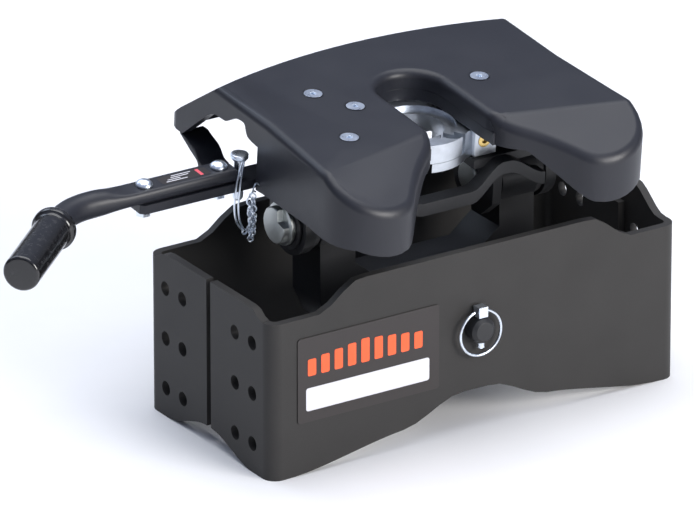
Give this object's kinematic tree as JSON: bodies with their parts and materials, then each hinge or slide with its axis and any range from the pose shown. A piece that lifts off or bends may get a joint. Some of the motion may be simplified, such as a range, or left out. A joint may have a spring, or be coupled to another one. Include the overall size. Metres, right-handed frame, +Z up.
{
  "type": "fifth wheel hitch",
  "caption": "Fifth wheel trailer hitch: tilting bearing plate with a kingpin throat and interlocking jaws, a side pull handle with a lock pin, and a bolt-in box base.",
  "frame": {"origin": "middle of the base box's length and depth, on the plane that the base stands on", "axes": "X across the vehicle with the release handle at -X, -Y towards the tailgate and the throat's open side, +Z up"},
  "size_m": [0.6994, 0.3307, 0.3178],
  "materials": {
    "powder_coat": "satin black textured powder coat",
    "cast_black": "black coat on cast steel",
    "zinc_plate": "bright zinc plate",
    "bolt_steel": "zinc plated bolt steel",
    "jaw_steel": "zinc plated machined steel",
    "brass": "turned brass",
    "grip_vinyl": "glossy dipped vinyl",
    "poly_bush": "polyurethane",
    "label": "printed vinyl label"
  },
  "bodies": {
    "base": {"base_shell_near": "powder_coat", "base_shell_far": "powder_coat", "seam_plate_left": "powder_coat", "seam_plate_right": "powder_coat", "pin_boss_near": "powder_coat", "pin_boss_far": "powder_coat", "roll_pin": "cast_black", "linch_pin": "zinc_plate", "label_plate": "label"},
    "linch_ring": {"linch_ring": "zinc_plate"},
    "yoke": {"yoke": "cast_black", "roll_bushing_near": "poly_bush", "roll_bushing_far": "poly_bush", "roll_washer_near": "zinc_plate", "roll_washer_far": "zinc_plate", "pitch_bushing_left": "poly_bush", "pitch_bushing_right": "poly_bush"},
    "head": {"skid_plate": "powder_coat", "throat_liner": "powder_coat", "side_hook": "powder_coat", "jaw_carrier": "cast_black", "inner_ear_left": "cast_black", "inner_ear_right": "cast_black", "outer_ear_left": "cast_black", "outer_ear_right": "cast_black", "bar_shelf": "cast_black", "screw_front_left": "zinc_plate", "screw_rear_left": "zinc_plate", "screw_pivot_left": "zinc_plate", "screw_pivot_right": "zinc_plate", "jaw_pin_left": "zinc_plate", "jaw_pin_right": "zinc_plate", "pitch_bolt_left": "bolt_steel", "pitch_bolt_right": "bolt_steel", "pitch_collar_left": "cast_black", "pitch_collar_right": "cast_black", "outer_washer_left": "poly_bush", "outer_washer_right": "poly_bush", "inner_washer_left": "poly_bush", "inner_washer_right": "poly_bush"},
    "jaw_left": {"jaw_left": "jaw_steel", "jaw_bush_left": "brass", "drive_pin_left": "zinc_plate"},
    "jaw_right": {"jaw_right": "jaw_steel", "jaw_bush_right": "brass", "drive_pin_right": "zinc_plate", "jaw_plug": "brass"},
    "release_bar": {"pull_bar": "powder_coat", "cam_plate": "zinc_plate", "handle_tube": "powder_coat", "handle_grip": "grip_vinyl", "handle_bolt_inner": "zinc_plate", "handle_bolt_outer": "zinc_plate", "handle_nut_inner": "zinc_plate", "handle_nut_outer": "zinc_plate"},
    "lock_pin": {"lock_pin": "zinc_plate", "lock_pin_clip": "zinc_plate", "lock_pin_chain": "zinc_plate"}
  },
  "joints": [
    {"name": "linch_ring_swing", "type": "hinge", "parent": "base", "child": "linch_ring", "pos_m": [0, -0.1145, 0.1235], "axis": [-1, 0, 0], "range_deg": [0, 120]},
    {"name": "head_roll", "type": "hinge", "parent": "base", "child": "yoke", "pos_m": [0, 0, 0.105], "axis": [0, 1, 0], "range_deg": [-8, 8]},
    {"name": "head_pitch", "type": "hinge", "parent": "yoke", "child": "head", "pos_m": [0, 0, 0.205], "axis": [1, 0, 0], "range_deg": [-17, 7]},
    {"name": "bar_slide", "type": "slide", "parent": "head", "child": "release_bar", "axis": [-1, 0, 0], "range_m": [0, 0.075]},
    {"name": "jaw_left_swing", "type": "hinge", "parent": "head", "child": "jaw_left", "pos_m": [-0.069, 0.00299, 0.20526], "axis": [0, 0.0872, -0.9962], "range_deg": [0, 45]},
    {"name": "jaw_right_swing", "type": "hinge", "parent": "head", "child": "jaw_right", "pos_m": [0.069, 0.00299, 0.20526], "axis": [0, -0.0872, 0.9962], "range_deg": [0, 45]},
    {"name": "lock_pin_lift", "type": "slide", "parent": "release_bar", "child": "lock_pin", "axis": [0, -0.0872, 0.9962], "range_m": [0, 0.04]}
  ],
  "couplings": [
    {"joint": "jaw_left_swing", "follows": "bar_slide", "rad_per_m": 10.472},
    {"joint": "jaw_right_swing", "follows": "bar_slide", "rad_per_m": 10.472}
  ]
}
